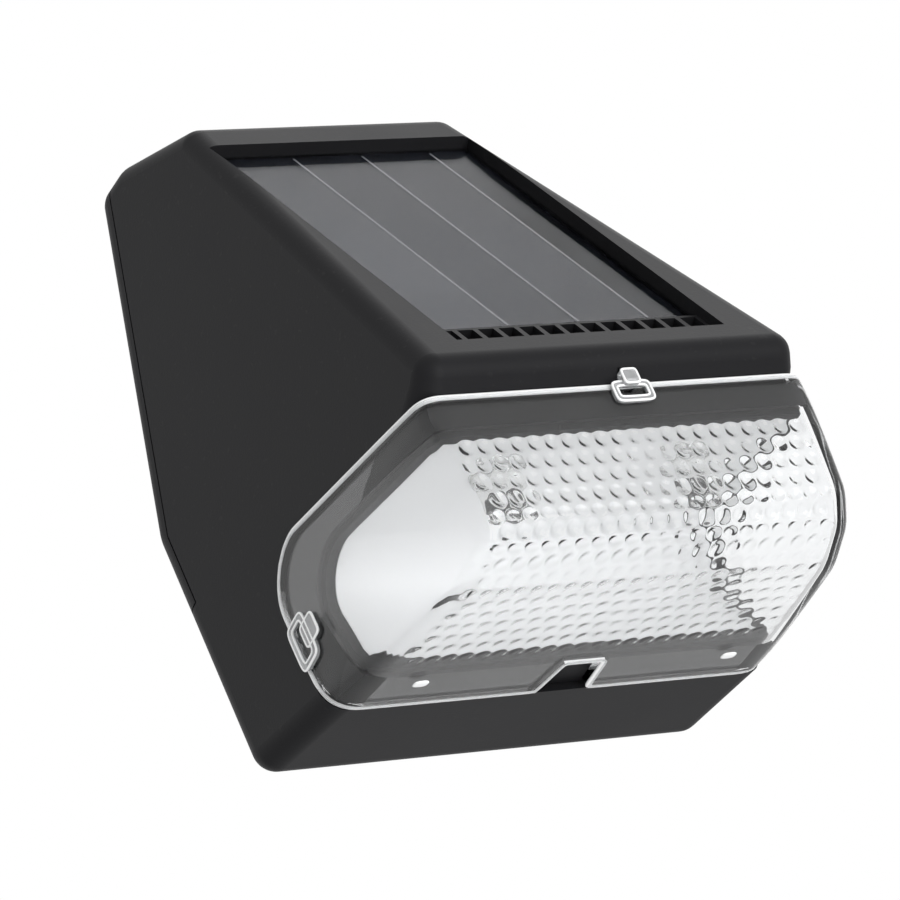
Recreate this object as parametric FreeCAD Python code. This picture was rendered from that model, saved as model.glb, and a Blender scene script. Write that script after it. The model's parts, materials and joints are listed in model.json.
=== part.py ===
"""Solar fence light: wedge-shaped housing, sloping solar panel, wrap-round clear lens.

Frame: origin at the centre of the wall face, +X to the right, +Y into the wall, +Z up.
Outlines are written as (depth, height): depth is the distance out from the wall.
All sizes are in millimetres and all angles in degrees.
"""
import FreeCAD, Part
import math
import os

Vector = FreeCAD.Vector

# ---- overall shape, seen from the side ----
roof_height = 38.4            # roof ridge above the centre of the wall face
roof_back_drop = 1.4          # wall edge of the roof below the ridge
ridge_depth = 8.0             # ridge out from the wall
panel_top_depth = 29.0        # top edge of the sloping face out from the wall
panel_top_drop = 5.2          # top edge of the sloping face below the ridge
panel_face_length = 84.8      # sloping face, top edge to brow
panel_slope = 52.5            # sloping face below the horizontal
brow_height = 3.9             # brow, sloping face to lens
brow_setback = 2.9            # foot of the brow behind its top edge
lens_height = 31.1            # foot of the brow down to the underside
bend_height = -23.2           # flat wall face ends here, below its centre
relief_lean = 19.4            # lower back wall leans off the wall by this angle

# ---- overall shape, seen from the front ----
body_half_width = 30.3        # at the wall, level with the origin
side_flare = 0.15             # each side grows wider by this per mm down
side_draft = 0.03             # each side grows narrower by this per mm out from the wall

# ---- walls and rounds ----
wall = 2.0
panel_wall = 6.0              # sloping wall, thick enough to hold the panel pocket
side_round = 3.3
ridge_round = 5.0
wall_edge_round = 3.6
panel_edge_round = 3.6
brow_round = 3.4
heel_round = 4.5
bend_round = 8.0

# ---- lens ----
lens_front_height = 21.0      # front face, brow to nose
lens_front_lean_out = 2.9     # nose stands out past the foot of the brow by this
nose_drop = 4.4               # rounded nose, upper part
nose_back = 2.6
nose_chin_drop = 3.1          # rounded nose, lower part
nose_chin_back = 7.0
lens_wall = 2.0
lens_proud = 0.3              # lens stands out of the housing surface
lens_round = 1.6
nose_round = 3.0
lens_overrun = 12.0
lens_gap = 0.2                # between the lens edge and the housing
lens_tip_half_width = 34.3    # lens end at the front top corner
lens_end_sweep = 0.186        # lens end pulls in by this per mm out from the wall
lens_end_tuck = 0.071         # and by this per mm down
flange_heel_depth = 39.3      # rear edge of the lens at the underside, out from the wall
flange_lean = 20.4
flange_corner = 8.5
flange_drop = 0.5
flange_fall = 0.04            # top edge of the lens end falls by this per mm towards the wall
window_heel_band = 10.1       # dark band behind the light opening at the underside
window_lean = 25.9
window_corner = 7.0
window_drop = 6.6

# ---- seal and frame behind the lens ----
gasket_thickness = 0.8
gasket_width_gap = 1.1        # gasket edges back from the frame edges
frame_thickness = 1.6

# ---- lens clips and notch ----
clip_width = 8.8
clip_height = 5.0
clip_rim = 1.1
clip_proud = 0.9
clip_shift = 2.0              # top clip, right of the middle
clip_root = 0.2               # clip frames start this far under the bare surface
clip_lift = 0.5               # side tabs stand off the housing by this
clip_overlap = 0.3            # of the top clip over the edge of the lens
clip_tab_proud = 1.7          # of the top tab, past the brow
top_clip_width = 6.8
top_clip_height = 3.6
top_clip_rim = 0.9
top_tab_width = 2.8
top_tab_reach = 1.3
top_tab_lift = 0.3            # middle of the top tab above the edge of its clip
clip_tab_width = 4.4
clip_tab_reach = 2.0
clip_relief = 0.22            # room round the top clip in the housing
side_clip_drop = 19.0         # side clips below the foot of the brow
notch_front_width = 7.2
notch_rear_width = 9.4
notch_shift = 1.2             # notch, right of the middle
notch_depth = 8.4
notch_key_gap = 0.4
notch_key_proud = 1.4

# ---- solar panel ----
recess_half_width = 23.7
recess_start = 6.4            # down the sloping face from its top edge
recess_end = 78.4
recess_depth = 1.95           # panel surface below the sloping face
panel_end = 71.0              # lower end of the panel, down the sloping face
panel_gap = 0.45              # panel to pocket, all round
board_thickness = 1.0         # backing board of the panel
cell_thickness = 0.25
resin_thickness = 0.4
adhesive_thickness = 0.3
cell_count = 4
cell_width = 12.5
cell_gap = 0.3
cell_margin = 0.3             # cells back from the edges of the board
cell_shift = 3.5              # middle line of the cells, right of the middle of the light
ledge_depth = 1.6             # slotted ledge below the sloping face
slot_count = 13
slot_pitch = 3.6
slot_width = 2.7
slot_length = 6.0
slot_depth = 3.3
lead_hole_start = 8.0         # below the top of the recess
lead_hole_width = 7.0
lead_hole_height = 4.0

# ---- back plate ----
plate_thickness = 4.3
plate_lip_thickness = 4.0     # part of the plate that follows the lean
plate_lip_length = 15.6
parting_gap = 0.3
seal_width = 1.2
seal_thickness = 1.2
boss_radius = 2.8
boss_length = 11.0
boss_clearance = 0.3
top_boss_height = 27.5
low_boss_height = -20.0
screw_shank_radius = 1.3
screw_hole_radius = 1.4
screw_head_radius = 2.6
screw_head_height = 1.6
screw_length = 11.0
screw_head_gap = 0.2
cross_reach = 1.6             # cross slot of a screw head, from its middle
cross_half = 0.4
cross_depth = 0.8
keyhole_skin = 1.8
keyhole_pocket = 3.0
keyhole_cap = 1.2
keyhole_slot_radius = 2.2
keyhole_slot_length = 10.0
keyhole_head_radius = 4.3
keyhole_spacing = 30.0
keyhole_centre = 7.0
keyhole_side = 8.0

# ---- button, switch and control board, on the leaning wall ----
button_rise = 15.6            # from the underside, up the leaning wall
button_radius = 3.6
button_fit = 0.08
button_proud = 1.5
button_travel = 1.2
button_flange_radius = 5.0
button_flange = 1.0
button_stem_radius = 1.5
button_stem = 1.2
button_seal_thickness = 0.6
button_seal_gap = 0.15
plunger_radius = 1.6
plunger_fit = 0.06
plunger_proud = 1.6
plunger_sunk = 1.0
switch_side = 6.4
switch_height = 4.0
board_width = 32.0
board_height = 20.0
pcb_thickness = 1.2
board_screw_pitch = 25.0
board_boss_radius = 2.4
small_shank_radius = 0.95
small_hole_radius = 1.05
small_head_radius = 1.9
small_head_height = 1.2
small_screw_length = 5.0
chip_side = 5.2
chip_height = 1.4
coil_radius = 2.6
coil_height = 5.0

# ---- battery ----
battery_radius = 5.2
battery_length = 43.4
battery_nub_radius = 1.9
battery_nub = 0.9
battery_height = -12.0        # battery axis below the origin
cradle_wall = 1.2
cradle_gap = 0.3
contact_thickness = 0.5
spring_contact_reach = 2.6

# ---- reflector and lights ----
reflector_wall = 1.2
reflector_gap = 0.1
led_spacing = 33.0
led_depth = 66.0
led_radius = 2.5
led_length = 8.6
led_flange_radius = 2.9
led_flange = 1.0
led_lead_radius = 0.3
led_lead_pitch = 2.54
led_lead_hole = 1.9
led_board_width = 50.0
led_board_depth = 11.0
led_board_lift = 3.0
led_screw_pitch = 22.0
led_boss_radius = 2.1
led_screw_length = 3.6

# ---- wires ----
wire_radius = 0.6
wire_pitch = 1.8
lead_rise = 8.5               # leads run straight out of a board by this
lead_bow = 2.0                # and bow past the straight way by this

# ---- values worked out from the sizes above ----
wall_top = (0.0, roof_height - roof_back_drop)
ridge = (ridge_depth, roof_height)
panel_top = (panel_top_depth, roof_height - panel_top_drop)
slope_cos = math.cos(math.radians(panel_slope))
slope_sin = math.sin(math.radians(panel_slope))
brow_top = (panel_top[0] + panel_face_length * slope_cos, panel_top[1] - panel_face_length * slope_sin)
brow_foot = (brow_top[0] - brow_setback, brow_top[1] - brow_height)
underside = brow_foot[1] - lens_height
bend = (0.0, bend_height)
relief_tan = math.tan(math.radians(relief_lean))
relief_foot = ((bend_height - underside) * relief_tan, underside)
relief_length = (bend_height - underside) / math.cos(math.radians(relief_lean))
button_distance = relief_length - button_rise   # from the bend, down the leaning wall
nose_top = (brow_foot[0] + lens_front_lean_out, brow_foot[1] - lens_front_height)
nose_mid = (nose_top[0] - nose_back, nose_top[1] - nose_drop)
nose_foot = (nose_mid[0] - nose_chin_back, nose_mid[1] - nose_chin_drop)
lens_heel = (flange_heel_depth, underside)
window_heel_depth = flange_heel_depth + window_heel_band
lens_inner = lens_wall - lens_proud
frame_outer = lens_inner + gasket_thickness
frame_inner = frame_outer + frame_thickness
reflector_outer = frame_inner + reflector_gap
panel_lean = 90.0 - panel_slope
far = 160.0
block_depths = (-30.0, 120.0)
block_heights = (-110.0, 80.0)


def side_reach(depth, height):
    """Half width of the housing at a depth and height."""
    return body_half_width - side_draft * depth - side_flare * height


def lens_reach(depth, height):
    """Half width of the lens ends, which pull in towards the nose."""
    pull = lens_end_sweep * (depth - brow_foot[0]) - lens_end_tuck * (height - brow_foot[1])
    return lens_tip_half_width - pull


def box(half_width, y_low, y_high, z_low, z_high, x_centre=0.0):
    """Box centred on x_centre, between two y values and two z values."""
    corner = Vector(x_centre - half_width, y_low, z_low)
    return Part.makeBox(2 * half_width, y_high - y_low, z_high - z_low, corner)


def rod(radius, start, end):
    """Round rod from one point to another."""
    run = end.sub(start)
    return Part.makeCylinder(radius, run.Length, start, run)


def fuse_all(shapes):
    """Join shapes that touch or overlap into one."""
    whole = shapes[0]
    for shape in shapes[1:]:
        whole = whole.fuse(shape)
    return whole.removeSplitter()


def prism(outline, half_width=far):
    """Solid with a straight-sided (depth, height) outline, running across the light."""
    points = [Vector(-half_width, -depth, height) for depth, height in outline]
    face = Part.Face(Part.makePolygon(points + points[:1]))
    return face.extrude(Vector(2 * half_width, 0, 0))


def inset_outline(outline, insets):
    """Outline moved in, each side by its own distance; side i runs from point i to the next.

    The outline runs clockwise as seen with depth to the right and height up.
    """
    count = len(outline)
    lines = []
    for index in range(count):
        (d0, h0), (d1, h1) = outline[index], outline[(index + 1) % count]
        length = math.hypot(d1 - d0, h1 - h0)
        along = ((d1 - d0) / length, (h1 - h0) / length)
        inward = (along[1], -along[0])
        lines.append(((d0 + inward[0] * insets[index], h0 + inward[1] * insets[index]), along))
    return [crossing(lines[index - 1], lines[index]) for index in range(count)]


def crossing(first, second):
    """Point where two (point, direction) lines cross."""
    (d0, h0), (a0, b0) = first
    (d1, h1), (a1, b1) = second
    scale = ((d1 - d0) * b1 - (h1 - h0) * a1) / (a0 * b1 - b0 * a1)
    return (d0 + a0 * scale, h0 + b0 * scale)


def tapered_block(reach, inset):
    """Large block between the two side planes that a half-width rule describes."""
    near, front = block_depths
    low, high = block_heights
    steep = math.hypot(1.0, reach(1, 0) - reach(0, 0), reach(0, 1) - reach(0, 0))
    corners = {}
    for side in (-1, 1):
        for depth in block_depths:
            for height in block_heights:
                half = reach(depth, height) - inset * steep
                corners[side, depth, height] = Vector(side * half, -depth, height)
    loops = [[(s, near, low), (s, front, low), (s, front, high), (s, near, high)] for s in (-1, 1)]
    loops += [[(-1, d, low), (1, d, low), (1, d, high), (-1, d, high)] for d in block_depths]
    loops += [[(-1, near, h), (1, near, h), (1, front, h), (-1, front, h)] for h in block_heights]
    faces = []
    for loop in loops:
        points = [corners[key] for key in loop]
        faces.append(Part.Face(Part.makePolygon(points + points[:1])))
    solid = Part.Solid(Part.Shell(faces))
    return solid if solid.Volume > 0 else solid.reversed()


def tilted(shape, origin, lean):
    """Shape drawn against an upright wall, moved to a wall that starts at origin and leans."""
    turn = FreeCAD.Rotation(Vector(1, 0, 0), -lean)
    moved = shape.copy()
    moved.Placement = FreeCAD.Placement(Vector(0, -origin[0], origin[1]), turn)
    return moved


def on_panel(shape):
    """Local +Y goes into the body from the sloping face, local -Z runs down it."""
    return tilted(shape, panel_top, panel_lean)


def on_relief(shape):
    """Local -Y goes into the body from the leaning back wall, local -Z runs down it."""
    return tilted(shape, bend, relief_lean)


def across_edges(shape, point, reach=0.05):
    """Edges that run straight across the light through a (depth, height) point."""
    found = []
    for edge in shape.Edges:
        middle = edge.CenterOfMass
        near = math.hypot(-middle.y - point[0], middle.z - point[1]) < reach
        if near and edge.BoundBox.XLength > 1:
            found.append(edge)
    return found


def side_edges(shape):
    """Edges where the two side planes end."""
    found = []
    for edge in shape.Edges:
        first, last = edge.Vertexes[0].Point, edge.Vertexes[-1].Point
        same_side = first.x * last.x > 0
        if same_side and edge.Length > 0.01:
            found.append(edge)
    return found


def rounded_prism_corner(solid, point, radius):
    """Round the edge of a prism that runs through a (depth, height) point."""
    return solid.makeFillet(radius, across_edges(solid, point))


def housing_outline():
    """Whole outline, with a straight chord in place of the lens."""
    return [wall_top, ridge, panel_top, brow_top, brow_foot, lens_heel, relief_foot, bend]


def housing_envelope():
    """Outer form of the housing and back plate together, with its soft edges."""
    solid = prism(housing_outline()).common(tapered_block(side_reach, 0.0))
    rounds = [(wall_top, wall_edge_round), (ridge, ridge_round), (panel_top, panel_edge_round),
              (brow_top, brow_round), (relief_foot, heel_round), (bend, bend_round)]
    for point, radius in rounds:
        solid = rounded_prism_corner(solid, point, radius)
    return solid.makeFillet(side_round, side_edges(solid))


def housing_inside(inset, panel_inset, rear_inset):
    """Outer form moved in, with its own distances under the panel and at the back."""
    outline = [wall_top, ridge, panel_top, brow_top, lens_heel, relief_foot, bend]
    insets = [inset, inset, panel_inset, inset, inset, rear_inset, rear_inset]
    solid = prism(inset_outline(outline, insets))
    return solid.common(tapered_block(side_reach, inset))


def lens_outline():
    """Whole outline, with the lens in its place."""
    return [wall_top, ridge, panel_top, brow_top, brow_foot, nose_top, nose_mid, nose_foot,
            lens_heel, relief_foot, bend]


def lens_form(inset, panel_inset=None):
    """Outer form with the lens, moved in by a distance."""
    under_panel = inset if panel_inset is None else panel_inset
    insets = [inset, inset, under_panel] + [inset] * 8
    solid = prism(inset_outline(lens_outline(), insets))
    solid = solid.common(tapered_block(side_reach, inset))
    return solid.common(tapered_block(lens_reach, inset))


def lens_region(heel_depth, lean, corner, drop, grow=0.0):
    """Part of space in front of a rear line and below a top line, rounded where they meet."""
    lean_angle = math.radians(lean)
    rear_line = ((heel_depth - grow / math.cos(lean_angle), underside),
                 (-math.sin(lean_angle), math.cos(lean_angle)))
    top_line = ((brow_foot[0], brow_foot[1] - drop + grow), (1.0, flange_fall))
    rear_corner = crossing(rear_line, top_line)
    low = (rear_line[0][0] + far * math.sin(lean_angle), underside - far * math.cos(lean_angle))
    outline = [rear_corner, (far, rear_corner[1] + (far - rear_corner[0]) * flange_fall),
               (far, low[1]), low]
    return rounded_prism_corner(prism(outline), rear_corner, corner + grow)


def flange_region(grow=0.0):
    """Where the lens lies, seen from the side."""
    return lens_region(flange_heel_depth, flange_lean, flange_corner, flange_drop, grow)


def window_region(grow=0.0):
    """Where light comes out, seen from the side."""
    return lens_region(window_heel_depth, window_lean, window_corner, window_drop, grow)


def plate_region(grow=0.0):
    """Where the back plate lies, seen from the side."""
    lean_angle = math.radians(relief_lean)
    down = (math.sin(lean_angle), -math.cos(lean_angle))
    inward = (math.cos(lean_angle), math.sin(lean_angle))
    end = plate_lip_length + grow
    thick = plate_lip_thickness + grow
    outer_end = (bend[0] + down[0] * end - inward[0] * far, bend[1] + down[1] * end - inward[1] * far)
    inner_end = (bend[0] + down[0] * end + inward[0] * thick, bend[1] + down[1] * end + inward[1] * thick)
    upright = ((plate_thickness + grow, 0.0), (0.0, 1.0))
    inner_bend = crossing((inner_end, (-down[0], -down[1])), upright)
    top = (plate_thickness + grow, far)
    return prism([(-far, far), top, inner_bend, inner_end, outer_end])


def boss_points():
    """Places of the four plate screws, close to the side walls."""
    points = []
    for height in (top_boss_height, low_boss_height):
        reach = side_reach(plate_thickness + boss_length, height) - wall - boss_radius + 0.3
        points += [(-reach, height), (reach, height)]
    return points


def top_clip_block(half_width, half_height, low, high, rise=0.0):
    """Block against the front face of the lens, centred on the top edge band."""
    lean = math.degrees(math.atan2(lens_front_lean_out, lens_front_height))
    middle = rise - top_clip_centre()
    block = box(half_width, -high, -low, middle - half_height, middle + half_height, clip_shift)
    return tilted(block, brow_foot, lean)


def top_clip_centre():
    """Centre of the top clip below the foot of the brow, along the front face."""
    return flange_drop + top_clip_height / 2 - clip_overlap


def top_tab_shift():
    """Centre of the top tab above the middle of the top clip."""
    return top_clip_height / 2 + top_tab_lift


def side_clip_place():
    """Depth and height of the middle of a side clip, on the rear line of the lens."""
    height = brow_foot[1] - side_clip_drop
    lean_angle = math.radians(flange_lean)
    rise = height - underside
    return (flange_heel_depth - rise * math.tan(lean_angle) + clip_height / 2, height)


def side_clip_block(side, half_width, half_height, low, high, shift=0.0):
    """Block against a side face, along the rear edge of the lens end."""
    depth, height = side_clip_place()
    block = Part.makeBox(high - low, 2 * half_height, 2 * half_width,
                         Vector(low, -half_height + shift, -half_width))
    block.rotate(Vector(0, 0, 0), Vector(1, 0, 0), flange_lean)
    flare = math.degrees(math.atan(side_flare))
    block.rotate(Vector(0, 0, 0), Vector(0, 1, 0), flare)
    block.translate(Vector(side_reach(depth, height), -depth, height))
    if side < 0:
        block = block.mirror(Vector(0, 0, 0), Vector(1, 0, 0))
    return block


def clip_frames():
    """Raised clip frames and tabs that belong to the lens."""
    frames = []
    ring = top_clip_block(top_clip_width / 2, top_clip_height / 2, -clip_root, clip_proud)
    inner = (top_clip_width / 2 - top_clip_rim, top_clip_height / 2 - top_clip_rim)
    hole = top_clip_block(inner[0], inner[1], -far, far)
    tab = top_clip_block(top_tab_width / 2, top_tab_reach, 0.0, clip_tab_proud, top_tab_shift())
    tab_shift = clip_height / 2
    frames.append((ring.cut(hole), tab, hole))
    for side in (-1, 1):
        ring = side_clip_block(side, clip_width / 2, clip_height / 2, -clip_root, clip_proud)
        inner = (clip_width / 2 - clip_rim, clip_height / 2 - clip_rim)
        hole = side_clip_block(side, inner[0], inner[1], -far / 8, far / 8)
        tab = side_clip_block(side, clip_tab_width / 2, clip_tab_reach, clip_lift, clip_proud, tab_shift)
        frames.append((ring.cut(hole).common(flange_region(-lens_gap)), tab, hole))
    return frames


def notch_block(grow, low, high):
    """Tapered block at the bottom rear edge of the lens, wider towards the wall."""
    slope = (notch_rear_width - notch_front_width) / 2 / notch_depth
    front = flange_heel_depth + notch_depth + grow
    rear = flange_heel_depth - notch_depth
    front_half = notch_front_width / 2 + grow * (1 - slope)
    rear_half = front_half + slope * (front - rear)
    corners = [(-front_half, front), (front_half, front), (rear_half, rear), (-rear_half, rear)]
    points = [Vector(notch_shift + x, -depth, low) for x, depth in corners]
    face = Part.Face(Part.makePolygon(points + points[:1]))
    return face.extrude(Vector(0, 0, high - low))


def make_notch(grow=0.0):
    """Notch in the bottom rear edge of the lens."""
    return notch_block(grow, underside - far, underside + 2 * notch_depth)


def rounded_heel_block():
    """Space between the side planes and above the underside, with its lower edges rounded."""
    low = underside - lens_proud
    block = tapered_block(side_reach, -lens_proud).common(box(far, -far, far, low, far))
    lower = [edge for edge in side_edges(block) if abs(edge.CenterOfMass.z - low) < lens_proud]
    return block.makeFillet(heel_round, lower)


def lens_outer():
    """Outer form of the lens before its rear is cut: a rounded wedge that runs on past both ends."""
    reach = math.hypot(nose_top[0] - brow_foot[0], nose_top[1] - brow_foot[1])
    up = ((brow_foot[0] - nose_top[0]) / reach, (brow_foot[1] - nose_top[1]) / reach)
    back = math.hypot(lens_heel[0] - nose_foot[0], lens_heel[1] - nose_foot[1])
    rearward = ((lens_heel[0] - nose_foot[0]) / back, (lens_heel[1] - nose_foot[1]) / back)
    top = (brow_foot[0] + up[0] * lens_overrun, brow_foot[1] + up[1] * lens_overrun)
    heel = (lens_heel[0] + rearward[0] * lens_overrun, lens_heel[1] + rearward[1] * lens_overrun)
    outline = [(heel[0], top[1]), top, nose_top, nose_mid, nose_foot, heel]
    solid = prism(inset_outline(outline, [-lens_proud] * len(outline)))
    solid = solid.common(tapered_block(lens_reach, -lens_proud))
    for point in (nose_top, nose_mid, nose_foot):
        solid = solid.makeFillet(nose_round, across_edges(solid, point, 2 * lens_proud))
    rims = []
    for edge in side_edges(solid):
        middle = edge.CenterOfMass
        if -middle.y > heel[0] + lens_overrun / 8 and middle.z < top[1] - lens_overrun / 8:
            rims.append(edge)
    return solid.makeFillet(lens_round, rims).common(rounded_heel_block())


def make_lens():
    """Clear cover with its clips."""
    shell = lens_outer().cut(lens_form(lens_inner))
    lens = shell.common(flange_region(-lens_gap))
    lens = lens.cut(make_notch())
    for ring, tab, hole in clip_frames():
        lens = lens.cut(hole).fuse(ring).fuse(tab)
    return lens.removeSplitter()


def make_gasket():
    """Flat seal between the lens and the frame."""
    band = lens_form(lens_inner).cut(lens_form(frame_outer))
    band = band.common(flange_region(-gasket_width_gap)).cut(window_region(gasket_width_gap))
    band = band.cut(make_notch(gasket_width_gap))
    for _, _, hole in clip_frames():
        band = band.cut(hole)
    return band


def make_housing():
    """Main shell with the panel pocket, the lens frame and all bosses."""
    shell = housing_envelope().cut(flange_region())
    inside = housing_inside(wall, panel_wall, wall).cut(flange_region(wall))
    deep_inside = lens_form(frame_inner, max(panel_wall, frame_inner))
    shell = shell.cut(inside).cut(deep_inside)
    frame = lens_form(frame_outer).cut(lens_form(frame_inner))
    frame = frame.common(flange_region()).cut(window_region())
    housing = fuse_all([shell, frame])
    housing = housing.cut(plate_region(parting_gap))
    housing = housing.cut(panel_pocket())
    housing = housing.cut(clip_reliefs())
    housing = fuse_all([housing] + housing_bosses() + [notch_key()])
    for cutter in boss_holes() + [button_hole()]:
        housing = housing.cut(cutter)
    return housing


def panel_pocket():
    """Recess, deeper panel bed, drain slots and lead hole, cut from the sloping face."""
    bed = recess_depth + board_thickness + cell_thickness + resin_thickness + adhesive_thickness
    recess = box(recess_half_width, -far, ledge_depth, -recess_end, -recess_start)
    deep = box(recess_half_width, -1.0, bed, -(panel_end + panel_gap), -recess_start)
    cutters = [recess, deep]
    slot_end = panel_end + panel_gap + 0.6
    first = -(slot_count - 1) * slot_pitch / 2
    for index in range(slot_count):
        cutters.append(box(slot_width / 2, 0.0, ledge_depth + slot_depth,
                           -(slot_end + slot_length), -slot_end, first + index * slot_pitch))
    cutters.append(lead_hole(2 * panel_wall))
    return on_panel(fuse_all(cutters))


def lead_hole(depth):
    """Hole under the panel for its leads, drawn against the sloping face."""
    top = recess_start + lead_hole_start
    return box(lead_hole_width / 2, 0.0, depth, -(top + lead_hole_height), -top)


def clip_reliefs():
    """Small pockets in the brow and sides that leave room for the clip tabs."""
    grow = clip_relief
    top = top_clip_block(top_clip_width / 2 + grow, top_clip_height / 2 + grow, -grow, far)
    tab = top_clip_block(top_tab_width / 2 + grow, top_tab_reach + grow, -grow, far, top_tab_shift())
    return fuse_all([top, tab])


def notch_key():
    """Key on the frame that fills the notch of the lens."""
    key = notch_block(-notch_key_gap, underside - far, underside + far)
    band = lens_form(notch_key_proud).cut(lens_form(frame_inner))
    return key.common(band).common(flange_region(0.5))


def housing_bosses():
    """Screw bosses for the back plate and the control board."""
    bosses = []
    for x, height in boss_points():
        start = Vector(x, -plate_thickness, height)
        bosses.append(rod(boss_radius, start, start + Vector(0, -boss_length, 0)))
    top = board_face()
    for side in (-1, 1):
        x = side * board_screw_pitch / 2
        start = Vector(x, -wall + 0.5, -button_distance)
        bosses.append(on_relief(rod(board_boss_radius, start, Vector(x, -top, -button_distance))))
    return bosses


def boss_holes():
    """Holes for the plate screws and the board screws."""
    holes = []
    for x, height in boss_points():
        start = Vector(x, 0, height)
        holes.append(rod(screw_hole_radius, start, start + Vector(0, -plate_thickness - boss_length + 1, 0)))
    for side in (-1, 1):
        x = side * board_screw_pitch / 2
        start = Vector(x, -board_face() + small_screw_length, -button_distance)
        stop = Vector(x, -board_face() - 1, -button_distance)
        holes.append(on_relief(rod(small_hole_radius, start, stop)))
    return holes


def switch_face():
    """Front of the switch body behind the leaning wall's outer surface."""
    return button_foot() + button_stem + plunger_proud


def button_foot():
    """Back of the button flange behind the leaning wall's outer surface."""
    return wall + button_seal_thickness + button_seal_gap + button_flange


def board_face():
    """Switch side of the control board behind the leaning wall's outer surface."""
    return switch_face() + switch_height


def button_hole():
    """Round hole for the button through the leaning wall."""
    start = Vector(0, 1, -button_distance)
    return on_relief(rod(button_radius + button_fit, start, Vector(0, -wall - 1, -button_distance)))


def make_button():
    """Push button with a flange that keeps it in the wall and a stem to the switch."""
    at = -button_distance
    flange_front = button_foot() - button_flange
    cap = rod(button_radius, Vector(0, button_proud, at), Vector(0, -flange_front, at))
    rim = [edge for edge in cap.Edges if edge.CenterOfMass.y > button_proud - 0.01]
    cap = cap.makeFillet(0.5, rim)
    flange = rod(button_flange_radius, Vector(0, -flange_front, at), Vector(0, -button_foot(), at))
    foot = Vector(0, -button_foot(), at)
    stem = rod(button_stem_radius, foot, foot - Vector(0, button_stem, 0))
    return on_relief(fuse_all([cap, flange, stem]))


def make_button_seal():
    """Soft ring between the wall and the button flange."""
    at = -button_distance
    start, end = Vector(0, -wall, at), Vector(0, -wall - button_seal_thickness, at)
    ring = rod(button_flange_radius + 0.4, start, end).cut(rod(button_radius + 0.3, start, end))
    return on_relief(ring)


def make_plunger():
    """Plunger of the switch, moved by the button stem."""
    at = -button_distance
    start = button_foot() + button_stem
    return on_relief(rod(plunger_radius, Vector(0, -start, at),
                         Vector(0, -switch_face() - plunger_sunk, at)))


def make_switch_body():
    """Square switch body with the bore of its plunger."""
    at = -button_distance
    half = switch_side / 2
    body = box(half, -board_face(), -switch_face(), at - half, at + half)
    bore_end = switch_face() + plunger_sunk + button_travel + 0.3
    bore = rod(plunger_radius + plunger_fit, Vector(0, -switch_face() + 1, at), Vector(0, -bore_end, at))
    return on_relief(body.cut(bore))


def make_control_board():
    """Circuit board behind the leaning wall."""
    at = -button_distance
    face = board_face()
    board = box(board_width / 2, -face - pcb_thickness, -face, at - board_height / 2, at + board_height / 2)
    for side in (-1, 1):
        x = side * board_screw_pitch / 2
        board = board.cut(rod(small_hole_radius, Vector(x, -face / 2, at), Vector(x, -face * 2, at)))
    return on_relief(board)


def make_board_screws():
    """Two screws that hold the control board."""
    screws = []
    face = board_face() + pcb_thickness
    for side in (-1, 1):
        x = side * board_screw_pitch / 2
        start = Vector(x, -face, -button_distance)
        shank = rod(small_shank_radius, start, start + Vector(0, small_screw_length, 0))
        head = rod(small_head_radius, start, start + Vector(0, -small_head_height, 0))
        screws.append(on_relief(fuse_all([shank, head])))
    return screws


def make_controller_chip():
    """Flat control chip on the inner side of the board."""
    face = board_face() + pcb_thickness
    at = -button_distance - board_height / 4
    half = chip_side / 2
    return on_relief(box(half, -face - chip_height, -face, at - half, at + half, -board_width / 5))


def make_boost_coil():
    """Drum-shaped coil on the inner side of the board."""
    face = board_face() + pcb_thickness
    start = Vector(board_width / 5, -face, -button_distance - board_height / 4)
    return on_relief(rod(coil_radius, start, start + Vector(0, -coil_height, 0)))


def keyhole_heights():
    """Nominal screw heights of the two keyholes."""
    return [keyhole_centre - keyhole_spacing / 2, keyhole_centre + keyhole_spacing / 2]


def make_back_plate():
    """Rear cover with two keyholes and four screw seats."""
    plate = housing_envelope().common(plate_region())
    pocket_half = keyhole_side - keyhole_cap
    for height in keyhole_heights():
        low = height - keyhole_slot_length / 2 - keyhole_head_radius
        high = height + keyhole_slot_length / 2 + 1.0
        deep = keyhole_skin + keyhole_pocket
        plate = plate.fuse(box(keyhole_side, -deep - keyhole_cap, -keyhole_skin, low - keyhole_cap,
                               high + keyhole_cap))
        plate = plate.cut(box(pocket_half, -deep, -keyhole_skin, low, high))
        end = keyhole_slot_length / 2 - keyhole_slot_radius
        slot = box(keyhole_slot_radius, -keyhole_skin - 1, 1.0, height - end, height + end)
        for z, radius in ((height + end, keyhole_slot_radius), (height - end, keyhole_slot_radius),
                          (height - keyhole_slot_length / 2, keyhole_head_radius)):
            slot = slot.fuse(rod(radius, Vector(0, 1, z), Vector(0, -keyhole_skin - 0.5, z)))
        plate = plate.cut(slot)
    seat = screw_head_height + screw_head_gap
    for x, height in boss_points():
        wide = screw_head_radius + screw_head_gap
        plate = plate.cut(rod(wide, Vector(x, far, height), Vector(x, -seat, height)))
        plate = plate.cut(rod(screw_hole_radius, Vector(x, far, height), Vector(x, -far, height)))
    return plate.removeSplitter()


def make_plate_screws():
    """Four screws that hold the back plate."""
    screws = []
    seat = screw_head_height + screw_head_gap
    for x, height in boss_points():
        start = Vector(x, -seat, height)
        head = rod(screw_head_radius, start, start + Vector(0, screw_head_height, 0))
        low = start.y + screw_head_height - cross_depth
        slot = fuse_all([
            box(cross_reach, low, far, height - cross_half, height + cross_half, x),
            box(cross_half, low, far, height - cross_reach, height + cross_reach, x)])
        shank = rod(screw_shank_radius, start, start + Vector(0, -screw_length, 0))
        screws.append(fuse_all([head, shank]).cut(slot))
    return screws


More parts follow.
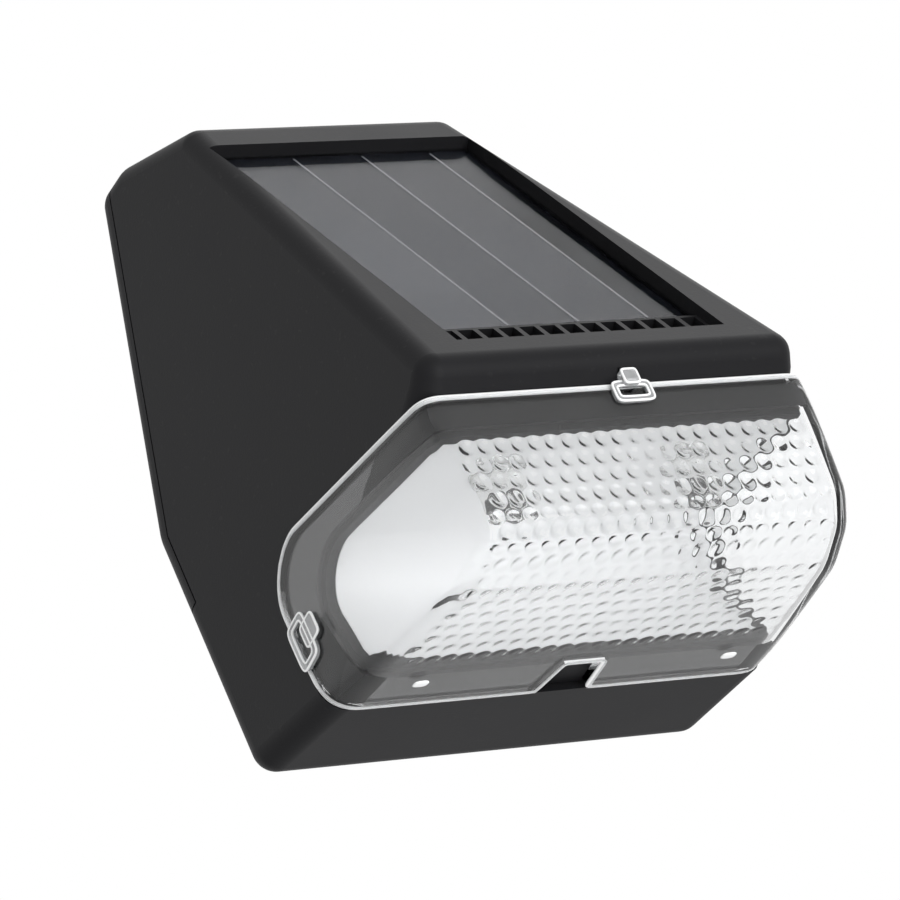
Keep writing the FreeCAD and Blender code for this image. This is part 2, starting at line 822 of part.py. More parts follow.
def make_plate_seal():
    """Soft ring inside the rear edge of the housing, on the back plate."""
    slack = 0.1
    band = plate_region(seal_thickness).cut(plate_region())
    outer = housing_inside(wall + slack, panel_wall, -1.0)
    inner = housing_inside(wall + slack + seal_width, panel_wall, -1.0)
    ring = band.common(outer).cut(inner.common(low_stop(plate_lip_length - seal_width)))
    ring = ring.common(low_stop(plate_lip_length - slack))
    for x, height in boss_points():
        ring = ring.cut(rod(boss_radius + boss_clearance, Vector(x, far, height), Vector(x, -far, height)))
    return ring


def low_stop(distance):
    """Space above a line square to the leaning wall, at a distance down it."""
    return on_relief(box(far, -far, far, -distance, 2 * far))


def cradle_inside():
    """Half length of the room between the cradle's end walls."""
    return (battery_length + battery_nub + contact_thickness + spring_contact_reach) / 2


def cradle_back():
    """Rear face of the cradle, which rests on the keyhole pockets."""
    return keyhole_skin + keyhole_pocket + keyhole_cap


def battery_depth():
    """Battery axis out from the wall."""
    return cradle_back() + cradle_wall + cradle_gap + battery_radius


def make_battery():
    """Round cell lying across the light, with its nub at the right."""
    left = -cradle_inside() + spring_contact_reach
    depth = battery_depth()
    start = Vector(left, -depth, battery_height)
    body = rod(battery_radius, start, start + Vector(battery_length, 0, 0))
    ends = [edge for edge in body.Edges if edge.BoundBox.XLength < 0.01]
    body = body.makeFillet(0.6, ends)
    end = start + Vector(battery_length, 0, 0)
    nub = rod(battery_nub_radius, end + Vector(-0.5, 0, 0), end + Vector(battery_nub, 0, 0))
    return fuse_all([body, nub])


def make_cradle():
    """Open battery cradle: back, floor, lid lip and two end walls."""
    half = cradle_inside()
    depth = battery_depth()
    high = battery_radius + cradle_gap
    outer = box(half + cradle_wall, -depth - battery_radius * 0.6, -cradle_back(),
                battery_height - high - cradle_wall, battery_height + high + cradle_wall)
    room = box(half, -far, -cradle_back() - cradle_wall, battery_height - high, battery_height + high)
    return outer.cut(room)


def make_plate_contact():
    """Flat contact at the right end of the battery."""
    half = cradle_inside()
    depth = battery_depth()
    return box(contact_thickness / 2, -depth - 3.0, -depth + 4.0, battery_height - 3.5,
               battery_height + 3.5, half - contact_thickness / 2)


def make_spring_contact():
    """Bent leaf contact at the left end of the battery."""
    half = cradle_inside()
    depth = battery_depth()
    thick = contact_thickness
    foot = Vector(-half, -depth, battery_height)
    reach = spring_contact_reach
    outline = [(0, -3.5), (thick, -3.5), (thick, 2.6), (reach - thick, 1.4), (reach - thick, -1.6),
               (reach, -1.6), (reach, 1.9), (thick, 3.5), (0, 3.5)]
    points = [foot + Vector(a, -2.5, b) for a, b in outline]
    face = Part.Face(Part.makePolygon(points + points[:1]))
    return face.extrude(Vector(0, 5.0, 0))


def panel_layer(start_depth, thickness, margin):
    """Rectangular layer of the solar panel, a depth below the sloping face."""
    gap = panel_gap + margin
    return box(recess_half_width - gap, start_depth, start_depth + thickness,
               -(panel_end - margin), -(recess_start + gap))


def make_panel_resin():
    """Clear top layer of the solar panel, with room for the cells under it."""
    layer = panel_layer(recess_depth, resin_thickness + cell_thickness, 0.0)
    for cell in cell_layers():
        layer = layer.cut(cell)
    return on_panel(layer)


def cell_layers():
    """The solar cells, side by side, still drawn against the sloping face."""
    start = recess_depth + resin_thickness
    edge = recess_half_width - panel_gap - cell_margin
    cells = []
    for index in range(cell_count):
        line = cell_shift + (index - cell_count / 2) * cell_width
        left = -edge if index == 0 else line + cell_gap / 2
        right = min(edge, line + cell_width - cell_gap / 2)
        cells.append(box((right - left) / 2, start, start + cell_thickness, -(panel_end - cell_margin),
                         -(recess_start + panel_gap + cell_margin), (left + right) / 2))
    return cells


def make_panel_board():
    """Backing board of the solar panel."""
    start = recess_depth + resin_thickness + cell_thickness
    return on_panel(panel_layer(start, board_thickness, 0.0))


def make_panel_adhesive():
    """Adhesive sheet under the backing board, with a hole for the leads."""
    start = recess_depth + resin_thickness + cell_thickness + board_thickness
    sheet = panel_layer(start, adhesive_thickness, 0.8)
    return on_panel(sheet.cut(lead_hole(2 * panel_wall)))


def reflector_top():
    """Height of the lower face of the reflector's top wall, at the lights."""
    return brow_foot[1] - window_drop - (brow_foot[0] - led_depth) * flange_fall


def lamp_line():
    """Local frame of the reflector's top wall: its fall towards the wall, in degrees."""
    return math.degrees(math.atan(flange_fall))


def on_lamps(shape):
    """Local origin on the lower face of the reflector's top wall, midway between the lights."""
    turn = FreeCAD.Rotation(Vector(1, 0, 0), -lamp_line())
    moved = shape.copy()
    moved.Placement = FreeCAD.Placement(Vector(0, -led_depth, reflector_top()), turn)
    return moved


def make_reflector():
    """White trough with a flange against the frame and bosses for the light board."""
    inside = lens_form(reflector_outer)
    trough = inside.common(window_region(reflector_wall)).cut(window_region())
    flange = inside.cut(lens_form(reflector_outer + reflector_wall))
    flange = flange.common(window_region(4.0)).cut(window_region())
    reflector = fuse_all([trough, flange])
    for side in (-1, 1):
        x = side * led_screw_pitch / 2
        boss = rod(led_boss_radius, Vector(x, 0, reflector_wall - 0.3),
                   Vector(x, 0, reflector_wall + led_board_lift))
        hole = rod(small_hole_radius, Vector(x, 0, reflector_wall + 0.2), Vector(x, 0, far))
        reflector = reflector.fuse(on_lamps(boss)).cut(on_lamps(hole))
        x = side * led_spacing / 2
        reflector = reflector.cut(on_lamps(rod(led_lead_hole, Vector(x, 0, -1), Vector(x, 0, far / 8))))
    return reflector.removeSplitter()


def make_led_board():
    """Circuit board over the reflector that carries the lights."""
    low = reflector_wall + led_board_lift
    board = box(led_board_width / 2, -led_board_depth / 2, led_board_depth / 2, low, low + pcb_thickness)
    for side in (-1, 1):
        x = side * led_screw_pitch / 2
        board = board.cut(rod(small_hole_radius, Vector(x, 0, 0), Vector(x, 0, far)))
    return on_lamps(board)


def make_led_screws():
    """Two screws that hold the light board."""
    screws = []
    top = reflector_wall + led_board_lift + pcb_thickness
    for side in (-1, 1):
        start = Vector(side * led_screw_pitch / 2, 0, top)
        shank = rod(small_shank_radius, start, start + Vector(0, 0, -led_screw_length))
        head = rod(small_head_radius, start, start + Vector(0, 0, small_head_height))
        screws.append(on_lamps(fuse_all([shank, head])))
    return screws


def make_leds():
    """Two round lights that point down into the trough."""
    lights = []
    for side in (-1, 1):
        x = side * led_spacing / 2
        start = Vector(x, 0, 0)
        flange = rod(led_flange_radius, start, start + Vector(0, 0, -led_flange))
        straight = led_length - led_radius
        body = rod(led_radius, start, start + Vector(0, 0, -straight))
        dome = Part.makeSphere(led_radius, start + Vector(0, 0, -straight))
        pieces = [flange, body, dome]
        for lead in (-1, 1):
            foot = start + Vector(lead * led_lead_pitch / 2, 0, -0.5)
            rise = 0.5 + reflector_wall + led_board_lift
            pieces.append(rod(led_lead_radius, foot, foot + Vector(0, 0, rise)))
        lights.append(on_lamps(fuse_all(pieces)))
    return lights


def round_route(points):
    """Wire of straight runs joined by arcs as large as the runs allow."""
    edges = []
    last = points[0]
    for index in range(1, len(points) - 1):
        corner = points[index]
        back = points[index - 1].sub(corner)
        ahead = points[index + 1].sub(corner)
        trim = 0.45 * min(back.Length, ahead.Length)
        back.normalize()
        ahead.normalize()
        start = corner + back * trim
        end = corner + ahead * trim
        turn = math.pi - back.getAngle(ahead)
        radius = trim / math.tan(turn / 2)
        bisector = (back + ahead).normalize()
        middle = corner + bisector * (math.hypot(radius, trim) - radius)
        edges.append(Part.LineSegment(last, start).toShape())
        edges.append(Part.Arc(start, middle, end).toShape())
        last = end
    edges.append(Part.LineSegment(last, points[-1]).toShape())
    return Part.Wire(edges)


def lead_pair(points, shift):
    """Two parallel insulated wires along a route."""
    wires = []
    for side in (-0.5, 0.5):
        route = [point + shift * side for point in points]
        first = route[1].sub(route[0])
        ring = Part.Wire(Part.makeCircle(wire_radius, route[0], first))
        wires.append(round_route(route).makePipeShell([ring], True, False))
    return wires


def relief_point(x, inward, down):
    """Point given in the frame of the leaning back wall."""
    lean_angle = math.radians(relief_lean)
    depth = bend[0] + down * math.sin(lean_angle) + inward * math.cos(lean_angle)
    height = bend[1] - down * math.cos(lean_angle) + inward * math.sin(lean_angle)
    return Vector(x, -depth, height)


def panel_point(x, below, down):
    """Point given in the frame of the sloping face."""
    depth = panel_top[0] + down * slope_cos - below * slope_sin
    height = panel_top[1] - down * slope_sin - below * slope_cos
    return Vector(x, -depth, height)


def make_panel_leads():
    """Wires from the solar panel to the control board."""
    bed = recess_depth + resin_thickness + cell_thickness + board_thickness
    hole = recess_start + lead_hole_start + lead_hole_height / 2
    face = board_face() + pcb_thickness
    top = button_distance - board_height / 2 + 2.0
    start = panel_point(0, bed + lead_rise, hole)
    end = relief_point(0, face + lead_rise, top)
    bow = min(start.y, end.y) - lead_bow
    points = [panel_point(0, bed, hole), start, Vector(0, bow, start.z * 0.62 + end.z * 0.38),
              Vector(0, bow, start.z * 0.3 + end.z * 0.7), end, relief_point(0, face, top)]
    return lead_pair(points, Vector(wire_pitch, 0, 0))


def make_led_leads():
    """Wires from the control board to the light board."""
    face = board_face() + pcb_thickness
    x = -board_width / 4
    top = button_distance - board_height / 2 + 2.0
    lift = reflector_top() + reflector_wall + led_board_lift + pcb_thickness
    front = led_depth - led_board_depth / 2 + 2.0
    clear = relief_point(x, face + lead_rise, top)
    over = Vector(x, -front, lift + lead_rise)
    between = Vector(x, (clear.y + over.y) / 2, over.z + lead_bow)
    points = [relief_point(x, face, top), clear, between, over, Vector(x, -front, lift)]
    return lead_pair(points, Vector(wire_pitch, 0, 0))


def as_one(shapes):
    """Group of separate solids kept in one node."""
    return Part.makeCompound(shapes)


def build():
    """All nodes of the light."""
    return {
        "housing": make_housing(),
        "back_plate": make_back_plate(),
        "plate_seal": make_plate_seal(),
        "plate_screws": as_one(make_plate_screws()),
        "lens": make_lens(),
        "lens_gasket": make_gasket(),
        "reflector": make_reflector(),
        "led_board": make_led_board(),
        "leds": as_one(make_leds()),
        "led_board_screws": as_one(make_led_screws()),
        "panel_resin": make_panel_resin(),
        "solar_cells": as_one([on_panel(cell) for cell in cell_layers()]),
        "panel_board": make_panel_board(),
        "panel_adhesive": make_panel_adhesive(),
        "power_button": make_button(),
        "button_seal": make_button_seal(),
        "switch_plunger": make_plunger(),
        "switch_body": make_switch_body(),
        "control_board": make_control_board(),
        "control_board_screws": as_one(make_board_screws()),
        "controller_chip": make_controller_chip(),
        "boost_coil": make_boost_coil(),
        "battery": make_battery(),
        "battery_cradle": make_cradle(),
        "battery_plate_contact": make_plate_contact(),
        "battery_spring_contact": make_spring_contact(),
        "panel_leads": as_one(make_panel_leads()),
        "led_leads": as_one(make_led_leads()),
    }


def export(nodes):
    """Write one STEP file for each node."""
    os.makedirs("parts", exist_ok=True)
    for name, shape in nodes.items():
        shape.exportStep(os.path.join("parts", name + ".step"))
        size = shape.BoundBox
        print("%-24s solids %d valid %s volume %9.1f  x %6.1f %6.1f  y %6.1f %6.1f  z %6.1f %6.1f" % (
            name, len(shape.Solids), shape.isValid(), shape.Volume,
            size.XMin, size.XMax, size.YMin, size.YMax, size.ZMin, size.ZMax))


export(build())
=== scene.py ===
import json
import math

import bmesh
import bpy
import numpy as np
from mathutils import Matrix, Vector


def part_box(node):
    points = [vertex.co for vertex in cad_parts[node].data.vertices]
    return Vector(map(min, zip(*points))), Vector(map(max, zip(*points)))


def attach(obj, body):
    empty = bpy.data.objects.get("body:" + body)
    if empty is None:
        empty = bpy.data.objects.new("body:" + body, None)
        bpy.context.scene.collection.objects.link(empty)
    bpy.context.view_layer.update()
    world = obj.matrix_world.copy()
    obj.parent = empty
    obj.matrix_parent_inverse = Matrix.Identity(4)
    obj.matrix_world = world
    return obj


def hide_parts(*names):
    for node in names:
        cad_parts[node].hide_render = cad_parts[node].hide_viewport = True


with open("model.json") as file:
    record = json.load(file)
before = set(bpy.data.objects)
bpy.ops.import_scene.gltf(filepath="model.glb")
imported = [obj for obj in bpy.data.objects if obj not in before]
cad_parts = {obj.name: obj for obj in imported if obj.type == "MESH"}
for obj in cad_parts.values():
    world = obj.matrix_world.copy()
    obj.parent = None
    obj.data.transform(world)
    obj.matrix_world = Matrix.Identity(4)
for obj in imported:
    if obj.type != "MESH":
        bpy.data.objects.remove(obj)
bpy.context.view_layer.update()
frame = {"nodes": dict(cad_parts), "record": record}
nodes = frame["nodes"]
mm = 0.001
tiny = 1e-9      # keeps a length that is divided by from being zero
print("frame loaded:", len(nodes), "nodes")


def lengthsAlong(line):
    # distance along a polyline from its first point to each of its points
    return np.concatenate([[0], np.cumsum(np.linalg.norm(np.diff(line, axis=0), axis=1))])


def readOff(line, length, places):
    # points of a polyline at the given distances along it
    return np.stack([np.interp(places, length, line[:, i]) for i in range(line.shape[1])], 1)


def roundedLine(points, radii, step, arcPoints=9):
    # polyline with each inner corner swapped for an arc of its own radius, read off again at even steps
    points = np.asarray(points, float)
    pieces = [points[:1]]
    for before, corner, after, radius in zip(points[:-2], points[1:-1], points[2:], radii):
        back = (before - corner) / np.linalg.norm(before - corner)
        ahead = (after - corner) / np.linalg.norm(after - corner)
        half = math.acos(np.clip(back @ ahead, -1, 1)) / 2
        trim = radius / math.tan(half)
        middle = corner + (back + ahead) / np.linalg.norm(back + ahead) * radius / math.sin(half)
        start, end = corner + back * trim, corner + ahead * trim
        t = np.linspace(0, 1, arcPoints)[:, None]
        chord = start * (1 - t) + end * t - middle
        pieces.append(middle + chord / np.linalg.norm(chord, axis=1)[:, None] * radius)
    pieces.append(points[-1:])
    line = np.concatenate(pieces)
    length = lengthsAlong(line)
    even = np.linspace(0, length[-1], max(2, int(round(length[-1] / step)) + 1))
    return readOff(line, length, even), even


def gridQuads(rows, columns, closedRows=False, closedColumns=False):
    # corner numbers of the quads of a rows x columns grid of points, joined to its own start where it is closed
    index = np.arange(rows * columns).reshape(rows, columns)
    if closedRows:
        index = np.concatenate([index, index[:1]])
    if closedColumns:
        index = np.concatenate([index, index[:, :1]], 1)
    return np.stack([index[:-1, :-1], index[1:, :-1], index[1:, 1:], index[:-1, 1:]], -1).reshape(-1, 4)


def rimQuads(quads, shift):
    # quads that join the open edges of a sheet to the same edges of its copy, numbered shift higher
    edges = np.concatenate([quads[:, [i, (i + 1) % 4]] for i in range(4)])
    ordered = np.sort(edges, 1)
    _, first, count = np.unique(ordered, axis=0, return_index=True, return_counts=True)
    free = edges[first[count == 1]]
    return np.stack([free[:, 1], free[:, 0], free[:, 0] + shift, free[:, 1] + shift], 1)


def soften(wave, power):
    # a sine or cosine with its size raised to a power and its sign kept: under one, a circle turns square
    return np.sign(wave) * np.abs(wave) ** power


def roundedBlock(half, power, sides):
    # superellipsoid: the sines and cosines of both its angles softened by one power, so a block with soft edges
    u, v = np.meshgrid(np.linspace(-math.pi, math.pi, 4 * sides + 1),
                       np.linspace(-math.pi / 2, math.pi / 2, 2 * sides + 1), indexing="ij")
    level = soften(np.cos(v), power)
    points = np.stack([half[0] * level * soften(np.cos(u), power), half[1] * level * soften(np.sin(u), power),
                       half[2] * soften(np.sin(v), power)], -1)
    return points.reshape(-1, 3), gridQuads(*u.shape)


def ellipseSection(half, height, sides):
    # points of an ellipse, half wide and height high on each side of its middle
    turn = np.linspace(0, 2 * math.pi, sides, endpoint=False)
    return np.stack([np.cos(turn) * half, np.sin(turn) * height], 1)


def sweepLoop(path, lift, section):
    # a closed section carried round a closed path: its first axis along the surface, its second along lift
    ahead = np.roll(path, -1, 0) - np.roll(path, 1, 0)
    ahead /= np.linalg.norm(ahead, axis=1)[:, None]
    across = np.cross(ahead, lift)
    across /= np.linalg.norm(across, axis=1)[:, None]
    normal = np.cross(across, ahead)
    points = path[:, None] + across[:, None] * section[None, :, :1] + normal[:, None] * section[None, :, 1:]
    return points.reshape(-1, 3), gridQuads(*points.shape[:2], closedRows=True, closedColumns=True)


def joinParts(parts):
    # several point and quad lists made one
    starts = np.cumsum([0] + [len(points) for points, _ in parts])
    points = np.concatenate([points for points, _ in parts])
    return points, np.concatenate([quads + start for (_, quads), start in zip(parts, starts)])


meshing = {"mergeGap": 2e-6, "flatEdge": 1e-6}


def meshPiece(name, points, quads, material, sharpAngle):
    # points in mm and quads to a finished piece: doubles merged, normals outwards, smooth up to the sharp angle
    mesh = bpy.data.meshes.new(name)
    mesh.from_pydata((np.asarray(points) * mm).tolist(), [], np.asarray(quads).tolist())
    shape = bmesh.new()
    shape.from_mesh(mesh)
    bmesh.ops.remove_doubles(shape, verts=shape.verts, dist=meshing["mergeGap"])
    bmesh.ops.dissolve_degenerate(shape, edges=shape.edges, dist=meshing["flatEdge"])
    bmesh.ops.recalc_face_normals(shape, faces=shape.faces)
    shape.to_mesh(mesh)
    shape.free()
    mesh.shade_smooth()
    mesh.set_sharp_from_angle(angle=math.radians(sharpAngle))
    piece = bpy.data.objects.new(name, mesh)
    bpy.context.scene.collection.objects.link(piece)
    mesh.materials.append(material)
    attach(piece, "body")
    return piece


def newGroup(name, inputs, outputs):
    # an empty shader group whose sockets are all numbers
    group = bpy.data.node_groups.new(name, "ShaderNodeTree")
    for label, value in inputs.items():
        group.interface.new_socket(label, in_out="INPUT", socket_type="NodeSocketFloat").default_value = value
    for label in outputs:
        group.interface.new_socket(label, in_out="OUTPUT", socket_type="NodeSocketFloat")
    return group, group.nodes.new("NodeGroupInput"), group.nodes.new("NodeGroupOutput")


def feed(tree, value, socket):
    # a number is set on the socket, an output is linked to it
    if isinstance(value, (int, float)):
        socket.default_value = value
    else:
        tree.links.new(value, socket)


def mathNode(tree, operation, *values):
    # one step of arithmetic on numbers or outputs
    node = tree.nodes.new("ShaderNodeMath")
    node.operation = operation
    for value, socket in zip(values, node.inputs):
        feed(tree, value, socket)
    return node.outputs[0]


def noiseNode(tree, scale, detail):
    # layered noise over the object's own coordinates
    place = tree.nodes.new("ShaderNodeTexCoord").outputs["Object"]
    noise = tree.nodes.new("ShaderNodeTexNoise")
    noise.inputs["Detail"].default_value = detail
    feed(tree, scale, noise.inputs["Scale"])
    tree.links.new(place, noise.inputs["Vector"])
    return noise.outputs["Fac"]


def mixColors(tree, mask, first, second):
    # first where the mask is 0 and second where it is 1, each of them three numbers or an output
    node = tree.nodes.new("ShaderNodeMix")
    node.data_type = "RGBA"
    tree.links.new(mask, node.inputs["Factor"])
    for label, value in (("A", first), ("B", second)):
        if isinstance(value, tuple):
            node.inputs[label].default_value = (*value, 1)
        else:
            tree.links.new(value, node.inputs[label])
    return node.outputs["Result"]


moldLook = {"grainScale": 2600.0, "grainDetail": 2.0, "cloudScale": 28.0, "cloudDetail": 3.0}


def buildMoldGrain():
    # fine spark-eroded grain: small noise for the height, slow clouds for the shine and colour
    scales = {"Grain Scale": moldLook["grainScale"], "Cloud Scale": moldLook["cloudScale"]}
    group, enter, leave = newGroup("moldGrain", scales, ["Height", "Cloud"])
    fine = noiseNode(group, enter.outputs["Grain Scale"], moldLook["grainDetail"])
    cloud = noiseNode(group, enter.outputs["Cloud Scale"], moldLook["cloudDetail"])
    group.links.new(fine, leave.inputs["Height"])
    group.links.new(cloud, leave.inputs["Cloud"])
    return group


dustLook = {"speckScale": 900.0, "speckDetail": 1.0, "speckCut": 0.71, "patchScale": 40.0, "patchDetail": 2.0,
            "amount": 0.3, "color": (0.5, 0.5, 0.48)}


def buildDust():
    # pale specks: a noise cut high, thinned by a slower one
    group, enter, leave = newGroup("dustSpecks", {"Amount": dustLook["amount"]}, ["Mask"])
    grains = noiseNode(group, dustLook["speckScale"], dustLook["speckDetail"])
    specks = mathNode(group, "GREATER_THAN", grains, dustLook["speckCut"])
    patches = noiseNode(group, dustLook["patchScale"], dustLook["patchDetail"])
    thin = mathNode(group, "MULTIPLY", specks, patches)
    group.links.new(mathNode(group, "MULTIPLY", thin, enter.outputs["Amount"]), leave.inputs["Mask"])
    return group


moldGrain = buildMoldGrain()
dustSpecks = buildDust()

# what a finish has where its own row says nothing
plainFinish = {"grainScale": moldLook["grainScale"], "cloudScale": moldLook["cloudScale"], "bump": 0.2,
               "bumpDepth": 0.00005, "dust": 0.0, "metallic": 0.0, "specular": 0.5, "transmission": 0.0,
               "ior": 1.5}


def finishMaterial(name, row):
    # one Principled finish: two shades mixed by clouds, dust on top, grain as bump
    settings = {**plainFinish, **row}
    material = bpy.data.materials.new(name)
    material.use_nodes = True
    tree = material.node_tree
    shader = tree.nodes["Principled BSDF"]
    grain = tree.nodes.new("ShaderNodeGroup")
    grain.node_tree = moldGrain
    grain.inputs["Grain Scale"].default_value = settings["grainScale"]
    grain.inputs["Cloud Scale"].default_value = settings["cloudScale"]
    dust = tree.nodes.new("ShaderNodeGroup")
    dust.node_tree = dustSpecks
    dust.inputs["Amount"].default_value = settings["dust"]
    shades = mixColors(tree, grain.outputs["Cloud"], settings["dark"], settings["light"])
    dusty = mixColors(tree, dust.outputs["Mask"], shades, dustLook["color"])
    tree.links.new(dusty, shader.inputs["Base Color"])
    shine = tree.nodes.new("ShaderNodeMapRange")
    shine.inputs["To Min"].default_value = settings["rough"][0]
    shine.inputs["To Max"].default_value = settings["rough"][1]
    tree.links.new(grain.outputs["Cloud"], shine.inputs["Value"])
    tree.links.new(shine.outputs["Result"], shader.inputs["Roughness"])
    bump = tree.nodes.new("ShaderNodeBump")
    bump.inputs["Strength"].default_value = settings["bump"]
    bump.inputs["Distance"].default_value = settings["bumpDepth"]
    tree.links.new(grain.outputs["Height"], bump.inputs["Height"])
    tree.links.new(bump.outputs["Normal"], shader.inputs["Normal"])
    shader.inputs["Metallic"].default_value = settings["metallic"]
    shader.inputs["Specular IOR Level"].default_value = settings["specular"]
    shader.inputs["Transmission Weight"].default_value = settings["transmission"]
    shader.inputs["IOR"].default_value = settings["ior"]
    return material


finishes = {
    "black_plastic": {"dark": (0.008, 0.008, 0.009), "light": (0.014, 0.014, 0.0155), "rough": (0.44, 0.56),
                      "grainScale": 2300.0, "bump": 0.3, "specular": 0.095, "dust": 0.015},
    "clear_plastic": {"dark": (0.97, 0.98, 0.985), "light": (0.985, 0.99, 0.995), "rough": (0.02, 0.05),
                      "grainScale": 300.0, "bump": 0.04, "bumpDepth": 0.00003, "transmission": 1.0, "ior": 1.4},
    # near white and barely clear: on the lens edge bead and the clip edge lines this pale colour is a painted
    # highlight of the clear edges; also the finish of the pegs
    "pale_plastic_and_highlight": {"dark": (0.94, 0.945, 0.95), "light": (0.97, 0.975, 0.98), "rough": (0.2, 0.32),
                     "grainScale": 700.0, "bump": 0.1, "transmission": 0.05, "ior": 1.49},
    "clip_clear": {"dark": (0.8, 0.81, 0.82), "light": (0.88, 0.89, 0.9), "rough": (0.08, 0.16),
                   "grainScale": 500.0, "bump": 0.06, "transmission": 0.72, "ior": 1.4},
    "lamp_frame": {"dark": (0.012, 0.012, 0.012), "light": (0.03, 0.03, 0.03), "rough": (0.4, 0.5),
                   "grainScale": 3000.0, "bump": 0.1, "specular": 0.2},
    "collector_tin": {"dark": (0.17, 0.175, 0.185), "light": (0.23, 0.235, 0.245), "rough": (0.4, 0.5),
                      "grainScale": 3000.0, "bump": 0.1},
    # near black: where it shows in the gap round the solar panel, its black is painted shade at the base of the
    # recess wall
    "black_board": {"dark": (0.008, 0.008, 0.009), "light": (0.014, 0.014, 0.015), "rough": (0.5, 0.6),
                    "grainScale": 2000.0, "specular": 0.2},
    "white_plastic": {"dark": (0.92, 0.925, 0.93), "light": (0.95, 0.95, 0.955), "rough": (0.3, 0.42),
                      "grainScale": 1200.0, "bump": 0.08},
    "gasket_rubber": {"dark": (0.012, 0.012, 0.013), "light": (0.02, 0.02, 0.021), "rough": (0.45, 0.62),
                      "grainScale": 1600.0, "bump": 0.3},
    "seal_rubber": {"dark": (0.03, 0.03, 0.032), "light": (0.05, 0.05, 0.052), "rough": (0.6, 0.75),
                    "grainScale": 1800.0, "bump": 0.3, "dust": 0.05},
    "screw_steel": {"dark": (0.42, 0.42, 0.44), "light": (0.62, 0.62, 0.63), "rough": (0.28, 0.42),
                    "grainScale": 3500.0, "cloudScale": 300.0, "bump": 0.15, "metallic": 1.0},
    "contact_steel": {"dark": (0.55, 0.54, 0.51), "light": (0.7, 0.69, 0.66), "rough": (0.2, 0.32),
                      "grainScale": 3000.0, "cloudScale": 200.0, "bump": 0.12, "metallic": 1.0},
    "white_board": {"dark": (0.7, 0.71, 0.7), "light": (0.78, 0.79, 0.78), "rough": (0.4, 0.5),
                    "grainScale": 2000.0},
    "green_board": {"dark": (0.012, 0.09, 0.035), "light": (0.02, 0.13, 0.05), "rough": (0.35, 0.48),
                    "cloudScale": 120.0, "bump": 0.25},
    "led_epoxy": {"dark": (0.97, 0.97, 0.96), "light": (0.985, 0.985, 0.98), "rough": (0.04, 0.1),
                  "grainScale": 900.0, "bump": 0.05, "transmission": 0.9},
    "adhesive_sheet": {"dark": (0.42, 0.42, 0.4), "light": (0.56, 0.56, 0.53), "rough": (0.8, 0.9),
                       "grainScale": 1500.0, "bump": 0.5},
    "button_plastic": {"dark": (0.022, 0.022, 0.023), "light": (0.032, 0.032, 0.033), "rough": (0.35, 0.46),
                       "grainScale": 3000.0, "bump": 0.15, "specular": 0.4, "dust": 0.02},
    "switch_plastic": {"dark": (0.012, 0.012, 0.012), "light": (0.02, 0.02, 0.02), "rough": (0.3, 0.42),
                       "grainScale": 3000.0, "bump": 0.1},
    "chip_plastic": {"dark": (0.01, 0.01, 0.011), "light": (0.018, 0.018, 0.019), "rough": (0.5, 0.62),
                     "grainScale": 4000.0, "bump": 0.3},
    "coil_ferrite": {"dark": (0.02, 0.02, 0.022), "light": (0.035, 0.035, 0.037), "rough": (0.55, 0.7),
                     "grainScale": 2500.0, "bump": 0.5},
    "battery_sleeve": {"dark": (0.03, 0.16, 0.06), "light": (0.045, 0.21, 0.08), "rough": (0.2, 0.3),
                       "grainScale": 500.0, "bump": 0.08},
    "cradle_plastic": {"dark": (0.015, 0.015, 0.016), "light": (0.025, 0.025, 0.026), "rough": (0.5, 0.6),
                       "grainScale": 2300.0, "bump": 0.3},
    "lead_red": {"dark": (0.36, 0.012, 0.01), "light": (0.5, 0.02, 0.016), "rough": (0.35, 0.45),
                 "grainScale": 2500.0, "bump": 0.1},
    "lead_black": {"dark": (0.012, 0.012, 0.012), "light": (0.022, 0.022, 0.022), "rough": (0.35, 0.45),
                   "grainScale": 2500.0, "bump": 0.1},
    "solar_silicon": {"dark": (0.010, 0.012, 0.018), "light": (0.02, 0.023, 0.032), "rough": (0.25, 0.35),
                      "grainScale": 1800.0, "cloudScale": 60.0, "bump": 0.08, "specular": 0.02},
    "panel_resin": {"dark": (0.9, 0.92, 0.95), "light": (0.94, 0.95, 0.97), "rough": (0.05, 0.1),
                    "grainScale": 260.0, "bump": 0.05, "bumpDepth": 0.00004, "transmission": 1.0, "ior": 1.095},
}
materials = {name: finishMaterial(name, row) for name, row in finishes.items()}

fingers = {"pitch": 0.0013, "share": 0.12, "color": (0.035, 0.038, 0.045)}


def drawFingers(material):
    # fine fingers across the cells: height over pitch, and pale where the fraction of it is under the share
    tree = material.node_tree
    shader = tree.nodes["Principled BSDF"]
    base = shader.inputs["Base Color"].links[0].from_socket
    split = tree.nodes.new("ShaderNodeSeparateXYZ")
    tree.links.new(tree.nodes.new("ShaderNodeTexCoord").outputs["Object"], split.inputs[0])
    count = mathNode(tree, "MULTIPLY", split.outputs["Z"], 1 / fingers["pitch"])
    finger = mathNode(tree, "LESS_THAN", mathNode(tree, "FRACT", count), fingers["share"])
    tree.links.new(mixColors(tree, finger, base, fingers["color"]), shader.inputs["Base Color"])


drawFingers(materials["solar_silicon"])
print("materials:", len(materials))

# every CAD node takes the finish that the record names for it
for part in frame["record"]["subparts"]:
    shown = nodes[part["node"]]
    shown.data.materials.clear()
    shown.data.materials.append(materials[part["material_slot"]])


